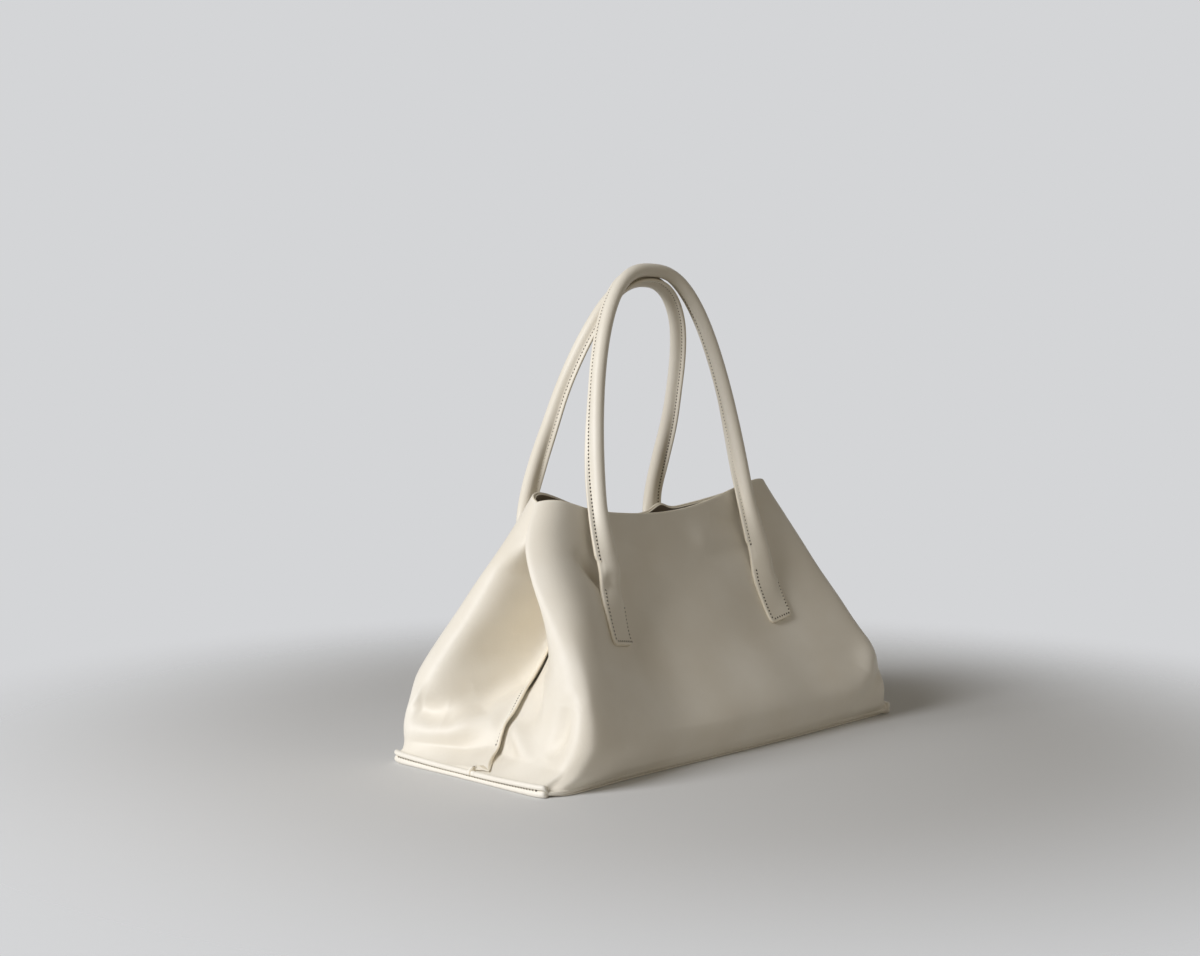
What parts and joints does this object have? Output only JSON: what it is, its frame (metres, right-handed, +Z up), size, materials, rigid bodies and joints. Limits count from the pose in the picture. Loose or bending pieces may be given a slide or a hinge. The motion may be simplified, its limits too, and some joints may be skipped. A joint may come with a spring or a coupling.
{
  "type": "leather tote bag",
  "caption": "Soft leather tote with folded gussets, a flat stitched base, rolled shoulder handles on flat tabs, a lined inside and a magnetic snap.",
  "frame": {"origin": "middle of the underside of the base, on the surface that the bag stands on", "axes": "+X along the bag from its left gusset to its right one, +Y from the front face to the back face, +Z up"},
  "size_m": [0.4326, 0.1901, 0.3905],
  "materials": {
    "cream_leather": "smooth satin nappa, fine grain",
    "lining_cloth": "matt taupe suede cloth",
    "stiff_board": "matt fibre board",
    "core_rope": "twisted cotton cord",
    "snap_metal": "satin plated steel"
  },
  "bodies": {
    "bag": {"front_panel": "cream_leather", "back_panel": "cream_leather", "base_panel": "cream_leather", "base_board": "stiff_board", "lining_front": "lining_cloth", "lining_back": "lining_cloth", "lining_floor": "lining_cloth", "facing_front": "cream_leather", "facing_back": "cream_leather", "front_tab_left": "cream_leather", "front_tab_right": "cream_leather", "back_tab_left": "cream_leather", "back_tab_right": "cream_leather", "front_patch_left": "stiff_board", "front_patch_right": "stiff_board", "back_patch_left": "stiff_board", "back_patch_right": "stiff_board", "snap_socket": "snap_metal", "snap_socket_washer": "snap_metal", "snap_stud": "snap_metal", "snap_stud_washer": "snap_metal"},
    "front_handle": {"front_handle": "cream_leather", "front_handle_cord": "core_rope"},
    "back_handle": {"back_handle": "cream_leather", "back_handle_cord": "core_rope"}
  },
  "joints": [
    {"name": "front_handle_swing", "type": "hinge", "parent": "bag", "child": "front_handle", "pos_m": [0, -0.0363, 0.1376], "axis": [1, 0, 0], "range_deg": [0, 120]},
    {"name": "back_handle_swing", "type": "hinge", "parent": "bag", "child": "back_handle", "pos_m": [0, 0.0703, 0.138], "axis": [-1, 0, 0], "range_deg": [0, 120]}
  ]
}
